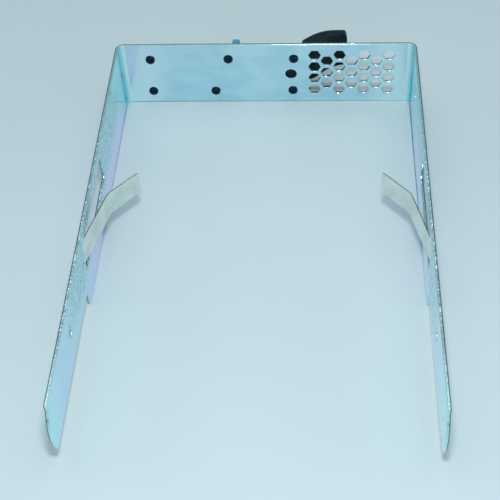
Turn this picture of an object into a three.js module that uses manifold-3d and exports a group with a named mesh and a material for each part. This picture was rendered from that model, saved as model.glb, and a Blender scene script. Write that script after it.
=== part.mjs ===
// Hot-swap tray for one 3.5 inch disk drive.
// Units are millimetres. +Z is up and the drive bay opens towards +Y.
// The moulded bezel and its handle lever are on the -Y side, and the two rails run back along +Y.
// The origin is on the ground, under the middle of the tray's outer box.
import * as THREE from 'three';
import { mergeVertices } from 'three/addons/utils/BufferGeometryUtils.js';
import Module from 'manifold-3d';

const wasm = await Module();
wasm.setup();

// ---------------------------------------------------------------- driving dimensions
const SHEET = 1.0; // folded steel sheet
const DRIVE_WIDTH = 101.6; // standard 3.5 inch drive
const DRIVE_CLEARANCE = 0.4; // each side
const TRAY_WIDTH = DRIVE_WIDTH + 2 * (DRIVE_CLEARANCE + SHEET);
const TRAY_HEIGHT = 25.4;
const RAIL_LENGTH = 152; // from the flange's rear face to the middle of the bowed rail ends
const GRIP_REACH = 14; // lever's grip, forward of the flange's rear face
const BEND_INSIDE = 2;
const FACE_GAP = 0.1; // between pieces that bear on each other
const FIT_GAP = 0.25; // around shafts and between moving faces

// The flange's rear face stands here, which centres the outer box on the origin.
const FLANGE_Y = (GRIP_REACH - RAIL_LENGTH) / 2;
const OUTSIDE = TRAY_WIDTH / 2;
const INSIDE = OUTSIDE - SHEET;

// Rails
const RAIL_AXIS_Z = 16.5; // screw holes, windows and springs share this height
const REAR_STEP_AT = 95; // behind this the rails' lower edge is raised
const REAR_STEP_HEIGHT = 6.5;
const RAIL_END_BOW = 1.5;
const RAIL_END_CORNER = 0.8;
const RAIL_TOP_NOTCH = { depth: 1.4, shoulder: 20.6, foot: 22.9 };
const DRIVE_HOLES_AT = [16.9, 118.5]; // 101.6 apart, as on the drive
const DRIVE_HOLE_RADIUS = 1.8;
const COUNTERSINK_RADIUS = 2.9;
const WINDOW = { from: 51, to: 91, height: 9.8, corner: 1 };

// Honeycomb in the flange
const CELL_PITCH = 5.0;
const CELL_FLATS = 3.8;
const CELL_COLUMNS = 7;
const CELL_CENTRE = { x: -30, z: 13.1 };

// Leaf springs, as distances inboard of the outer face and back from the flange
const STRIP = 0.35;
const STRIP_HEIGHT = 8.4;
const SPRING_ROOT_AT = 89.9;
const BLADE_BEND = { inboard: 5.4, at: 67.7, radius: 3 };
const BLADE_TIP = { inboard: 13.8, at: 58.4 };
const BASE_LENGTH = 11.5;
const RIVETS_AT = [94, 99];
const RIVET_RADIUS = 0.9;
const RIVET_HEAD = { radius: 1.7, height: 0.5 };

// Bezel and its fasteners
const BEZEL = {
  left: -12.2, right: 50.4, bottom: 2.4, top: 22, railTop: 21.2, front: 6, plate: 2.9, tail: -15.5,
};
const CHANNEL = { bottom: 7.0, top: 16.8 }; // the lever's arm lies in it, between two rails
const SCREWS = [
  [40.8, 19.1], [41.1, 5.0],
  [13.3, 19.2], [18.5, 5.0],
  [-9.7, 19.2], [-9.3, 5.1],
];
const SCREW = { shank: 0.8, point: 0.28, head: 1.65, headHeight: 0.75, length: 3, hole: 1.15, pilot: 1.05 };
const SPARE_HOLE = { x: -8.7, z: 12.5, radius: 2 };

// Handle lever
const PIVOT = { x: 47.2, ahead: 3.7, hub: 2.3, pin: 1.1, top: 20.8, bottom: 3.4 };
const ARM = { bottom: 7.4, top: 16.3, front: 5.6, back: 3.15 };
const GRIP = { bottom: 7.0, top: 21.4, start: -12.6, end: -28.9, lean: 1.2 };
const CAM = { reach: 4.2, halfWidth: 1.1, angle: 138 };
const TORSION = { coil: 1.85, wire: 0.25, turns: 3, pitch: 0.62, from: 17 };
const TORSION_HEIGHT = TORSION.turns * TORSION.pitch + 2 * TORSION.wire;

// Release latch
const LATCH = { x: 10.7, width: 2.9, top: 22.3, underside: 18, nose: 16.6, back: 6.3, front: 8 };
const LATCH_AXIS = { ahead: 4.6, z: 19, pin: 0.5, barrel: 1.2, from: 5.9, to: 14.2 };
const LATCH_COIL = { coil: 0.9, wire: 0.15, turns: 3, pitch: 0.36, from: 7.75 };

const ROUND = 32; // sides of a drilled hole
const SMALL_ROUND = 20; // sides of a pin or screw

// ---------------------------------------------------------------- colours
const ZINC = { color: 0x9fd0dc, roughness: 0.32, metalness: 0.9 };
const SPRING_STEEL = { color: 0x8f9a8c, roughness: 0.35, metalness: 0.95 };
const PLATED_PIN = { color: 0xb9bdc0, roughness: 0.3, metalness: 0.95 };
const BLACK_PLASTIC = { color: 0x14181a, roughness: 0.55, metalness: 0 };
const BLACK_SCREW = { color: 0x0e1114, roughness: 0.3, metalness: 0.6 };
const BLUE_PLASTIC = { color: 0x4f86c6, roughness: 0.4, metalness: 0 };

const tray = new THREE.Group();

// ---------------------------------------------------------------- solids and booleans
function solidOf(geometry) {
  const bare = geometry.clone();
  bare.deleteAttribute('normal');
  bare.deleteAttribute('uv');
  const merged = mergeVertices(bare, 1e-4);
  const vertProperties = new Float32Array(merged.attributes.position.array);
  const triVerts = new Uint32Array(merged.index.array);
  return new wasm.Manifold(new wasm.Mesh({ numProp: 3, vertProperties, triVerts }));
}

function geometryOf(solid) {
  const mesh = solid.getMesh();
  const geometry = new THREE.BufferGeometry();
  geometry.setAttribute('position', new THREE.BufferAttribute(new Float32Array(mesh.vertProperties), 3));
  geometry.setIndex(new THREE.BufferAttribute(new Uint32Array(mesh.triVerts), 1));
  geometry.computeVertexNormals();
  return geometry;
}

const joined = (first, ...others) => others.reduce((sum, next) => sum.add(next), first);
const without = (first, ...others) => others.reduce((rest, next) => rest.subtract(next), first);

function addPiece(name, solid, look) {
  const mesh = new THREE.Mesh(geometryOf(solid), new THREE.MeshStandardMaterial(look));
  mesh.name = name;
  tray.add(mesh);
}

// A box between two corners. Its y values are distances back from the flange's rear face.
function block([x0, y0, z0], [x1, y1, z1]) {
  const box = new THREE.BoxGeometry(x1 - x0, y1 - y0, z1 - z0);
  box.translate((x0 + x1) / 2, FLANGE_Y + (y0 + y1) / 2, (z0 + z1) / 2);
  return solidOf(box);
}

// A plan outline, drawn in x and distance back from the flange, raised from z0 to z1.
function planSolid(outline, z0, z1, curveSegments = 12) {
  const geometry = new THREE.ExtrudeGeometry(outline, { depth: z1 - z0, bevelEnabled: false, curveSegments });
  geometry.translate(0, FLANGE_Y, z0);
  return solidOf(geometry);
}

// A side outline, drawn in distance back from the flange and z, run from x0 to x1.
function sideSolid(outline, x0, x1, curveSegments = 10) {
  const geometry = new THREE.ExtrudeGeometry(outline, { depth: x1 - x0, bevelEnabled: false, curveSegments });
  const turn = new THREE.Matrix4().makeBasis(
    new THREE.Vector3(0, 1, 0), new THREE.Vector3(0, 0, 1), new THREE.Vector3(1, 0, 0));
  geometry.applyMatrix4(turn);
  geometry.translate(x0, FLANGE_Y, 0);
  return solidOf(geometry);
}

// A round bar along one axis; centre gives its two fixed coordinates in x, y, z order.
function bar(axis, centre, radius, from, to, sides = SMALL_ROUND) {
  return turned(axis, centre, [[0, from], [radius, from], [radius, to], [0, to]], sides);
}

// A turned piece: profile points are (radius, place along the axis).
function turned(axis, [a, b], profile, sides = SMALL_ROUND) {
  const points = profile.map(([radius, along]) => new THREE.Vector2(radius, along));
  const geometry = new THREE.LatheGeometry(points, sides);
  if (axis === 'x') {
    geometry.rotateZ(-Math.PI / 2);
    geometry.translate(0, FLANGE_Y + a, b);
  } else if (axis === 'y') {
    geometry.translate(a, FLANGE_Y, b);
  } else {
    geometry.rotateX(Math.PI / 2);
    geometry.translate(a, FLANGE_Y + b, 0);
  }
  return solidOf(geometry);
}

function roundedRectangle(x0, y0, x1, y1, radius) {
  const shape = new THREE.Shape();
  shape.moveTo(x0 + radius, y0);
  shape.lineTo(x1 - radius, y0);
  shape.absarc(x1 - radius, y0 + radius, radius, -Math.PI / 2, 0);
  shape.lineTo(x1, y1 - radius);
  shape.absarc(x1 - radius, y1 - radius, radius, 0, Math.PI / 2);
  shape.lineTo(x0 + radius, y1);
  shape.absarc(x0 + radius, y1 - radius, radius, Math.PI / 2, Math.PI);
  shape.lineTo(x0, y0 + radius);
  shape.absarc(x0 + radius, y0 + radius, radius, Math.PI, 1.5 * Math.PI);
  return shape;
}

// A strip of sheet that follows a plan path of points, all on its middle line.
function stripOutline(path, thickness) {
  const side = (point, index, sign) => {
    const before = path[Math.max(index - 1, 0)];
    const after = path[Math.min(index + 1, path.length - 1)];
    const along = after.clone().sub(before).normalize();
    const offset = sign * thickness / 2;
    return new THREE.Vector2(point.x - along.y * offset, point.y + along.x * offset);
  };
  const near = path.map((point, index) => side(point, index, -1));
  const far = path.map((point, index) => side(point, index, 1)).reverse();
  return new THREE.Shape([...near, ...far]);
}

// A wire wound in a helix about an axis, from its first turn upwards.
function coil({ coil: radius, wire, turns, pitch, from }, toWorld) {
  const stepsPerTurn = 16;
  class Helix extends THREE.Curve {
    getPoint(t, target = new THREE.Vector3()) {
      const angle = 2 * Math.PI * turns * t;
      const along = from + wire + pitch * turns * t;
      return target.copy(toWorld(radius * Math.cos(angle), radius * Math.sin(angle), along));
    }
  }
  const section = new THREE.Shape();
  section.absarc(0, 0, wire, 0, 2 * Math.PI);
  const geometry = new THREE.ExtrudeGeometry(section, {
    steps: stepsPerTurn * turns, extrudePath: new Helix(), curveSegments: 4, bevelEnabled: false,
  });
  return solidOf(geometry);
}

// ---------------------------------------------------------------- folded steel frame
function frameOutline() {
  const outer = BEND_INSIDE + SHEET;
  const shape = new THREE.Shape();
  const corner = OUTSIDE - outer;
  const end = RAIL_LENGTH + SHEET;
  shape.moveTo(-OUTSIDE, end);
  shape.lineTo(-OUTSIDE, BEND_INSIDE);
  shape.absarc(-corner, BEND_INSIDE, outer, Math.PI, 1.5 * Math.PI);
  shape.lineTo(corner, -SHEET);
  shape.absarc(corner, BEND_INSIDE, outer, -Math.PI / 2, 0);
  shape.lineTo(OUTSIDE, end);
  shape.lineTo(INSIDE, end);
  shape.lineTo(INSIDE, BEND_INSIDE);
  shape.absarc(corner, BEND_INSIDE, BEND_INSIDE, 0, -Math.PI / 2, true);
  shape.lineTo(-corner, 0);
  shape.absarc(-corner, BEND_INSIDE, BEND_INSIDE, -Math.PI / 2, -Math.PI, true);
  shape.lineTo(-INSIDE, end);
  return shape;
}

// The side view that both rails are blanked to: a raised rear edge and a bowed rear end.
function railOutline() {
  const shape = new THREE.Shape();
  const top = TRAY_HEIGHT;
  const step = REAR_STEP_HEIGHT;
  const { depth, shoulder, foot } = RAIL_TOP_NOTCH;
  const middle = (shoulder + step + RAIL_END_CORNER) / 2;
  shape.moveTo(-10, -1);
  shape.lineTo(REAR_STEP_AT, -1);
  shape.lineTo(REAR_STEP_AT, step - 1);
  shape.absarc(REAR_STEP_AT + 1, step - 1, 1, Math.PI, Math.PI / 2, true);
  const edge = RAIL_LENGTH - RAIL_END_BOW;
  shape.lineTo(edge - RAIL_END_CORNER, step);
  shape.absarc(edge - RAIL_END_CORNER, step + RAIL_END_CORNER, RAIL_END_CORNER, -Math.PI / 2, 0);
  shape.quadraticCurveTo(RAIL_LENGTH + RAIL_END_BOW, middle, edge, shoulder);
  shape.lineTo(edge - depth, foot);
  shape.lineTo(edge - depth, top + 1);
  shape.lineTo(-10, top + 1);
  return shape;
}

function honeycomb() {
  const columnPitch = CELL_PITCH * Math.sqrt(3) / 2;
  const circumradius = CELL_FLATS / Math.sqrt(3);
  const cells = [];
  for (let column = 0; column < CELL_COLUMNS; column++) {
    const rows = column % 2 ? 3 : 4;
    const x = CELL_CENTRE.x + (column - (CELL_COLUMNS - 1) / 2) * columnPitch;
    for (let row = 0; row < rows; row++) {
      const z = CELL_CENTRE.z + (row - (rows - 1) / 2) * CELL_PITCH;
      // Six sides, with a corner pointing to each side.
      const cell = new THREE.CylinderGeometry(circumradius, circumradius, 3 * SHEET, 6);
      cell.rotateY(Math.PI / 2);
      cell.translate(x, FLANGE_Y - SHEET / 2, z);
      cells.push(solidOf(cell));
    }
  }
  return cells;
}

function railCuts(side) {
  const faces = [side * (INSIDE - 1), side * (OUTSIDE + 1)].sort((a, b) => a - b);
  const half = WINDOW.height / 2;
  const window = roundedRectangle(
    WINDOW.from, RAIL_AXIS_Z - half, WINDOW.to, RAIL_AXIS_Z + half, WINDOW.corner);
  const cuts = [sideSolid(window, faces[0], faces[1], 4)];
  for (const at of DRIVE_HOLES_AT) {
    const past = 0.5;
    const slope = (COUNTERSINK_RADIUS - DRIVE_HOLE_RADIUS) / (SHEET * 0.8);
    const profile = [
      [0, INSIDE - past], [DRIVE_HOLE_RADIUS, INSIDE - past], [DRIVE_HOLE_RADIUS, INSIDE + 0.2 * SHEET],
      [COUNTERSINK_RADIUS + slope * past, OUTSIDE + past], [0, OUTSIDE + past],
    ];
    cuts.push(sidePiece(side, at, profile, ROUND));
  }
  for (const at of RIVETS_AT) {
    cuts.push(sidePiece(side, at, [
      [0, INSIDE - 0.5], [RIVET_RADIUS + FACE_GAP, INSIDE - 0.5],
      [RIVET_RADIUS + FACE_GAP, OUTSIDE + 0.5], [0, OUTSIDE + 0.5],
    ]));
  }
  return cuts;
}

// A turned piece across one rail, at the rails' common height; its profile is drawn for the +X side.
function sidePiece(side, at, profile, sides = SMALL_ROUND) {
  const ordered = side > 0 ? profile : profile.map(([radius, x]) => [radius, -x]).reverse();
  return turned('x', [at, RAIL_AXIS_Z], ordered, sides);
}

function trayFrame() {
  const folded = planSolid(frameOutline(), 0, TRAY_HEIGHT, 8);
  const blank = sideSolid(railOutline(), -OUTSIDE - 1, OUTSIDE + 1, 8);
  const holes = SCREWS.map(([x, z]) => bar('y', [x, z], SCREW.hole, -2, 1, SMALL_ROUND));
  holes.push(bar('y', [SPARE_HOLE.x, SPARE_HOLE.z], SPARE_HOLE.radius, -2, 1, ROUND));
  return without(folded.intersect(blank), ...honeycomb(), ...holes, ...railCuts(-1), ...railCuts(1));
}

// ---------------------------------------------------------------- leaf springs
// Plan points of one blade: straight out of the window, a rounded bend, and a steep free end.
function bladePath(side) {
  const root = new THREE.Vector2(side * (OUTSIDE + FACE_GAP + STRIP / 2), SPRING_ROOT_AT);
  const bend = new THREE.Vector2(side * (OUTSIDE - BLADE_BEND.inboard), BLADE_BEND.at);
  const tip = new THREE.Vector2(side * (OUTSIDE - BLADE_TIP.inboard), BLADE_TIP.at);
  const before = bend.clone().add(root.clone().sub(bend).setLength(BLADE_BEND.radius));
  const after = bend.clone().add(tip.clone().sub(bend).setLength(BLADE_BEND.radius));
  const path = new THREE.Path();
  path.moveTo(root.x, root.y);
  path.lineTo(before.x, before.y);
  path.quadraticCurveTo(bend.x, bend.y, after.x, after.y);
  path.lineTo(tip.x, tip.y);
  return path.getPoints(6);
}

function addLeafSpring(side, name) {
  const bottom = RAIL_AXIS_Z - STRIP_HEIGHT / 2;
  const top = RAIL_AXIS_Z + STRIP_HEIGHT / 2;
  const blade = planSolid(stripOutline(bladePath(side), STRIP), bottom, top);
  addPiece(`${name}_spring_blade`, blade, SPRING_STEEL);

  const faces = [side * (OUTSIDE + FACE_GAP), side * (OUTSIDE + FACE_GAP + STRIP)].sort((a, b) => a - b);
  const from = SPRING_ROOT_AT + FIT_GAP;
  const plate = roundedRectangle(from, bottom, from + BASE_LENGTH, top, 1);
  const holes = RIVETS_AT.map((at) => sidePiece(side, at, [
    [0, OUTSIDE - 1], [RIVET_RADIUS + FACE_GAP, OUTSIDE - 1],
    [RIVET_RADIUS + FACE_GAP, OUTSIDE + 2], [0, OUTSIDE + 2],
  ]));
  addPiece(`${name}_spring_base`, without(sideSolid(plate, faces[0], faces[1], 4), ...holes), SPRING_STEEL);

  const seat = OUTSIDE + FACE_GAP + STRIP + FACE_GAP;
  const crown = RIVET_HEAD.radius * 0.7;
  RIVETS_AT.forEach((at, index) => {
    const rivet = sidePiece(side, at, [
      [0, INSIDE], [RIVET_RADIUS, INSIDE], [RIVET_RADIUS, seat],
      [RIVET_HEAD.radius, seat], [RIVET_HEAD.radius, seat + RIVET_HEAD.height / 2],
      [crown, seat + RIVET_HEAD.height], [0, seat + RIVET_HEAD.height],
    ]);
    addPiece(`${name}_spring_rivet_${index + 1}`, rivet, PLATED_PIN);
  });
}

// ---------------------------------------------------------------- bezel and screws
function bezel() {
  const back = -SHEET - FACE_GAP;
  const { left, right, bottom, top, railTop, front, plate, tail } = BEZEL;
  const body = joined(
    planSolid(roundedRectangle(tail, -plate, right, back, 0.6), bottom, top, 4),
    planSolid(roundedRectangle(left, -front, right, back, 1.2), bottom, CHANNEL.bottom, 4),
    planSolid(roundedRectangle(left, -front, right, back, 1.2), CHANNEL.top, railTop, 4),
  );
  const pilots = SCREWS.map(([x, z]) => bar('y', [x, z], SCREW.pilot, -SCREW.length - FIT_GAP, 0));
  const pivot = [PIVOT.x, -PIVOT.ahead];
  const coilRoom = TORSION.coil + TORSION.wire + FIT_GAP;
  const axis = [-LATCH_AXIS.ahead, LATCH_AXIS.z];
  const half = LATCH.width / 2;
  return without(
    body,
    ...pilots,
    bar('z', pivot, PIVOT.pin + 0.1, PIVOT.bottom - 0.1, PIVOT.top + 2),
    bar('z', pivot, PIVOT.hub + FIT_GAP, CHANNEL.bottom - 0.01, CHANNEL.top + 0.01, ROUND),
    bar('z', pivot, coilRoom, CHANNEL.top - 0.5, TORSION.from + TORSION_HEIGHT + FACE_GAP, ROUND),
    // The cam's sweep at the end of the channel, which also opens the channel to the side.
    block([PIVOT.x, -front - 1, CHANNEL.bottom - 0.01], [right + 1, back + 1, CHANNEL.top + 0.01]),
    // The latch's slot, open upwards, forwards and to the channel, with the room for its coil beside it.
    block([LATCH_COIL.from - FIT_GAP, -front - 1, CHANNEL.top - 1],
      [LATCH.x + half + FIT_GAP, -LATCH_AXIS.ahead + LATCH_AXIS.barrel + FACE_GAP, top + 1]),
    bar('x', axis, LATCH_AXIS.pin + 0.15, LATCH_AXIS.from - 0.1, LATCH_AXIS.to + 0.1),
  );
}

function bezelScrew([x, z]) {
  const { shank, head, headHeight, length } = SCREW;
  return turned('y', [x, z], [
    [0, -length], [SCREW.point, -length], [shank, -length + 0.8], [shank, FACE_GAP],
    [head, FACE_GAP], [head, 0.35 * headHeight], [0.82 * head, 0.75 * headHeight],
    [0.45 * head, headHeight], [0, headHeight],
  ], 24);
}

// ---------------------------------------------------------------- handle lever
// Plan outline of the grip: it leaves the arm, curves forward and thins to its free end.
function gripOutline() {
  const { start, end } = GRIP;
  const shape = new THREE.Shape();
  shape.moveTo(start, -ARM.back);
  shape.lineTo(start, -8.1);
  shape.bezierCurveTo(start - 3.2, -11.2, start - 6.4, -GRIP_REACH, start - 12, -GRIP_REACH);
  shape.lineTo(end + 1.2, -GRIP_REACH);
  shape.quadraticCurveTo(end, -GRIP_REACH, end, -GRIP_REACH + 1.2);
  shape.lineTo(end + 0.2, -11.6);
  shape.bezierCurveTo(-20.5, -11.0, -18.5, -3.3, start - 2.6, -ARM.back);
  return shape;
}

// Plan outline of the arm, up to where its front face starts to rise into the grip.
function armOutline() {
  const { start } = GRIP;
  const shape = new THREE.Shape();
  shape.moveTo(PIVOT.x, -ARM.back);
  shape.lineTo(start - 0.5, -ARM.back);
  shape.lineTo(start - 0.5, -8.5);
  shape.quadraticCurveTo(-10.8, -6.6, -9, -ARM.front);
  shape.lineTo(PIVOT.x, -ARM.front);
  return shape;
}

// The cam nose beyond the pivot, which pushes on the cage when the lever opens.
function camOutline() {
  const angle = THREE.MathUtils.degToRad(-180 + CAM.angle);
  const along = new THREE.Vector2(Math.cos(angle), Math.sin(angle));
  const across = new THREE.Vector2(-along.y, along.x);
  const centre = new THREE.Vector2(PIVOT.x, -PIVOT.ahead);
  const reach = CAM.reach - CAM.halfWidth;
  const at = (forward, sideways) => centre.clone()
    .addScaledVector(along, forward).addScaledVector(across, sideways);
  const shape = new THREE.Shape();
  const first = at(0, -CAM.halfWidth * 1.5);
  const second = at(reach, -CAM.halfWidth);
  const middle = at(reach, 0);
  const last = at(0, CAM.halfWidth * 1.5);
  shape.moveTo(first.x, first.y);
  shape.lineTo(second.x, second.y);
  shape.absarc(middle.x, middle.y, CAM.halfWidth, angle - Math.PI / 2, angle + Math.PI / 2);
  shape.lineTo(last.x, last.y);
  return shape;
}

function handleLever() {
  const pivot = [PIVOT.x, -PIVOT.ahead];
  const end = new THREE.Shape(); // the free end leans back towards its lower corner
  end.moveTo(GRIP.end - 1, GRIP.bottom - 1);
  end.lineTo(GRIP.end + GRIP.lean, GRIP.bottom - 1);
  end.lineTo(GRIP.end + GRIP.lean / 4, GRIP.top - 5);
  end.quadraticCurveTo(GRIP.end, GRIP.top - 1.2, GRIP.end + 1.6, GRIP.top);
  end.lineTo(GRIP.end + 1.6, GRIP.top + 1);
  end.lineTo(GRIP.end - 1, GRIP.top + 1);
  const trim = new THREE.ExtrudeGeometry(end, { depth: 8, bevelEnabled: false, curveSegments: 6 });
  trim.rotateX(Math.PI / 2);
  trim.translate(0, FLANGE_Y - 8, 0);
  const body = joined(
    planSolid(armOutline(), ARM.bottom, ARM.top),
    planSolid(gripOutline(), GRIP.bottom, GRIP.top),
    bar('z', pivot, PIVOT.hub, ARM.bottom, ARM.top, ROUND),
    planSolid(camOutline(), ARM.bottom + 0.8, ARM.top - 0.8, 6),
  );
  return without(body, solidOf(trim), bar('z', pivot, PIVOT.pin + 0.1, ARM.bottom - 1, ARM.top + 1));
}

// ---------------------------------------------------------------- release latch
function releaseLatch() {
  const { x, width, top, underside, nose, back, front } = LATCH;
  const side = new THREE.Shape();
  side.moveTo(-LATCH_AXIS.ahead, underside);
  side.lineTo(-back, underside);
  side.lineTo(-back, nose);
  side.lineTo(-front + 0.5, nose);
  side.quadraticCurveTo(-front, nose, -front, nose + 0.8);
  side.lineTo(-front, top - 1.1);
  side.quadraticCurveTo(-front, top, -front + 1.1, top);
  side.lineTo(-LATCH_AXIS.ahead, top);
  const plan = new THREE.Shape();
  const half = width / 2;
  plan.moveTo(x - half, 0);
  plan.lineTo(x - half, -front + half);
  plan.absarc(x, -front + half, half, Math.PI, 2 * Math.PI);
  plan.lineTo(x + half, 0);
  const axis = [-LATCH_AXIS.ahead, LATCH_AXIS.z];
  const finger = sideSolid(side, x - half, x + half).intersect(planSolid(plan, nose - 1, top + 1));
  const barrel = bar('x', axis, LATCH_AXIS.barrel, x - half, x + half, ROUND);
  return finger.add(barrel).subtract(bar('x', axis, LATCH_AXIS.pin + 0.1, x - width, x + width));
}

// ---------------------------------------------------------------- the whole tray
addPiece('tray_frame', trayFrame(), ZINC);
addLeafSpring(1, 'right');
addLeafSpring(-1, 'left');
addPiece('bezel', bezel(), BLACK_PLASTIC);
SCREWS.forEach((place, index) => addPiece(`bezel_screw_${index + 1}`, bezelScrew(place), BLACK_SCREW));
addPiece('handle_lever', handleLever(), BLACK_PLASTIC);
addPiece('lever_pivot_pin', bar('z', [PIVOT.x, -PIVOT.ahead],
  PIVOT.pin, PIVOT.bottom, PIVOT.top), PLATED_PIN);
addPiece('lever_torsion_spring', coil(TORSION, (a, b, along) =>
  new THREE.Vector3(PIVOT.x + a, FLANGE_Y - PIVOT.ahead + b, along)), SPRING_STEEL);
addPiece('release_latch', releaseLatch(), BLUE_PLASTIC);
addPiece('latch_pin', bar('x', [-LATCH_AXIS.ahead, LATCH_AXIS.z],
  LATCH_AXIS.pin, LATCH_AXIS.from, LATCH_AXIS.to), PLATED_PIN);
addPiece('latch_spring', coil(LATCH_COIL, (a, b, along) =>
  new THREE.Vector3(along, FLANGE_Y - LATCH_AXIS.ahead + a, LATCH_AXIS.z + b)), SPRING_STEEL);

export default tray;
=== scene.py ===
import math

import bmesh
import bpy
from mathutils import Matrix, Vector
from mathutils.geometry import delaunay_2d_cdt


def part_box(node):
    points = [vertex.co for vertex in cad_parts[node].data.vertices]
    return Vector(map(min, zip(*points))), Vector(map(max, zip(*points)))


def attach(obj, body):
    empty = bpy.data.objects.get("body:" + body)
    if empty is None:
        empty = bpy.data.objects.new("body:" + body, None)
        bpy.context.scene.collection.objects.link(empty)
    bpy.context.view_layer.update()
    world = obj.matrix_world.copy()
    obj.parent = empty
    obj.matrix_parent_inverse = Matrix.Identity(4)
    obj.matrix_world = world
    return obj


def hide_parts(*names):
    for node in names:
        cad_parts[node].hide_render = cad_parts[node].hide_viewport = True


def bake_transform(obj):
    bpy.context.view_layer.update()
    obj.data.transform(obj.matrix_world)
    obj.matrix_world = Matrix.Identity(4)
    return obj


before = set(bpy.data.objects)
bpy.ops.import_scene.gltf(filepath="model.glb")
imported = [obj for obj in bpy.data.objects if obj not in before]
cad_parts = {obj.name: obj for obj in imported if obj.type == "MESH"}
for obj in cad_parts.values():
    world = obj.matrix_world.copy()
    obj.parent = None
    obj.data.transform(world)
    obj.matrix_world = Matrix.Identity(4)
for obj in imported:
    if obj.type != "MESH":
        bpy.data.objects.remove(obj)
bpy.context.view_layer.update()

# ------------------------------------------------------------------ sizes, in millimetres
# Shapes are drawn in millimetres: x to the side, s back from the flange's rear face, z up.
MM = 0.001


def box_mm(node):
    low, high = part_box(node)
    return low / MM, high / MM


def middle_mm(node):
    low, high = box_mm(node)
    return (low + high) / 2


SHEET = 1.0
TRAY_LOW, TRAY_HIGH = box_mm("tray_frame")
FLANGE_Y = TRAY_LOW.y + SHEET
OUTSIDE = TRAY_HIGH.x
RAIL_END = TRAY_HIGH.y - FLANGE_Y
TOP = TRAY_HIGH.z
BEND_INSIDE = 2.0
RAIL_AXIS_Z = middle_mm("right_spring_base").z

REAR_STEP = {"at": 95.0, "height": 6.5, "corner": 1.0}
RAIL_END_BOW = 1.5
RAIL_END_CORNER = 0.8
RAIL_TOP_NOTCH = {"depth": 1.4, "shoulder": 20.6, "foot": 22.9}
DRIVE_HOLES_AT = (16.9, 118.5)
DRIVE_HOLE = {"radius": 1.8, "countersink": 2.9, "land": 0.2}
WINDOW = {"from": 51.0, "to": 91.0, "height": 9.8, "corner": 1.0}
CELL = {"pitch": 5.0, "flats": 3.8, "columns": 7, "x": -30.0, "z": 13.1, "corner": 0.3}
SPARE_HOLE = {"x": -8.7, "z": 12.5, "radius": 2.0}
SCREW_HOLE = 1.15

STRIP = 0.35
SPRING_ROOT_AT = 89.9
BLADE_BEND = {"inboard": 5.4, "at": 67.7, "radius": 3.2}
BLADE_TIP = {"inboard": 13.8, "at": 58.4}
SPRING_ROOT_RADIUS = 8.0
STRIP_CORNER = 0.7
STRIP_ROUND = 0.09
RIVET = {"hole": 1.0, "shank": 0.9, "chamfer": 0.15, "seat": 0.55, "brim": 0.12}

FIT_GAP = 0.25  # around shafts and between moving faces
OVERCUT = 1.0  # how far a cutter runs past what it cuts
SKIN = 0.01  # a cutter that opens into the channel overlaps it by this
BEZEL = {"left": -12.2, "plate_front": -2.9, "rail_top": 21.2}
CHANNEL = {"low": 7.0, "high": 16.8}
GROOVE = {"up": 2.3, "half": 0.25, "depth": 0.3, "left": (-9.4, 2.0), "right_from": 18.0, "margin": 2.6}
COIL_ROOM = {"radius": 2.35, "below": 0.5, "above": 0.2}
SCREW = {"seat": 0.1, "shank": 0.8, "point": 0.28, "brim": 0.14, "crown": 0.08, "pilot": 1.05, "past": 0.25}
RECESS = {"half_arm": 0.30, "wall": 0.12, "reach": 0.98, "ramp": 0.25, "depth": 0.42}

ARM = {"bottom": 7.4, "top": 16.3, "front": -5.6, "back": -3.15}
GRIP = {"bottom": 7.0, "start": -12.6, "end": -28.9, "lean": 1.2, "round": 1.2}
HUB = 2.3
PIVOT_BORE = {"radius": 1.2, "from": 3.3}
CAM = {"angle": -42, "half": 1.1, "reach": 3.1, "root": 1.5, "inset": 0.8}
LATCH = {"underside": 18.0, "back": -6.3, "top_round": 1.1, "nose_round": 0.8, "edge": 0.3,
         "barrel": 1.2, "room_behind": 1.3}
LATCH_BORE = {"bezel": 0.65, "latch": 0.6, "past": 0.1}

ACROSS, UP = (1, 0, 0), (0, 0, 1)
SHARP_ANGLE = math.radians(38)  # edges that turn more than this stay sharp
SQUARE_CUT = [(0, 0), (0, 9)]  # the profile of a square-edged cutter


def point(x, s, z):
    return Vector((x, FLANGE_Y + s, z)) * MM


# ------------------------------------------------------------------ mesh helpers
def add_object(name, data):
    obj = bpy.data.objects.new(name, data)
    bpy.context.scene.collection.objects.link(obj)
    return obj


def mark_sharp(bm):
    for edge in bm.edges:
        edge.smooth = edge.calc_face_angle(0) < SHARP_ANGLE


def new_object(name, bm):
    bmesh.ops.recalc_face_normals(bm, faces=bm.faces)
    for face in bm.faces:
        face.smooth = True
    mark_sharp(bm)
    mesh = bpy.data.meshes.new(name)
    bm.to_mesh(mesh)
    bm.free()
    return add_object(name, mesh)


def inset(loop, amount):
    """A closed outline moved to the left of its direction, with mitred corners."""
    moved = []
    count = len(loop)
    for i, here in enumerate(loop):
        before, after = loop[i - 1], loop[(i + 1) % count]
        first = (here - before).normalized()
        second = (after - here).normalized()
        n1, n2 = Vector((-first.y, first.x)), Vector((-second.y, second.x))
        moved.append(here + (n1 + n2) * (amount / (1 + max(n1.dot(n2), -0.5))))
    return moved


def rounded_profile(thickness, radius, steps=3):
    """(inset, depth) pairs through a plate whose two rims are rounded."""
    near = []
    for k in range(steps + 1):
        a = k / steps * math.pi / 2
        near.append((radius * (1 - math.sin(a)), radius * (1 - math.cos(a))))
    return near + [(inward, thickness - depth) for inward, depth in reversed(near)]


def countersunk_profile(thickness, radius, hole):
    near = rounded_profile(thickness, radius)[:4]
    widening = hole["countersink"] - hole["radius"]
    land = hole["land"] * thickness
    rim = 0.08
    return near + [(0, land), (widening - rim, thickness - rim), (widening, thickness)]


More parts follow.
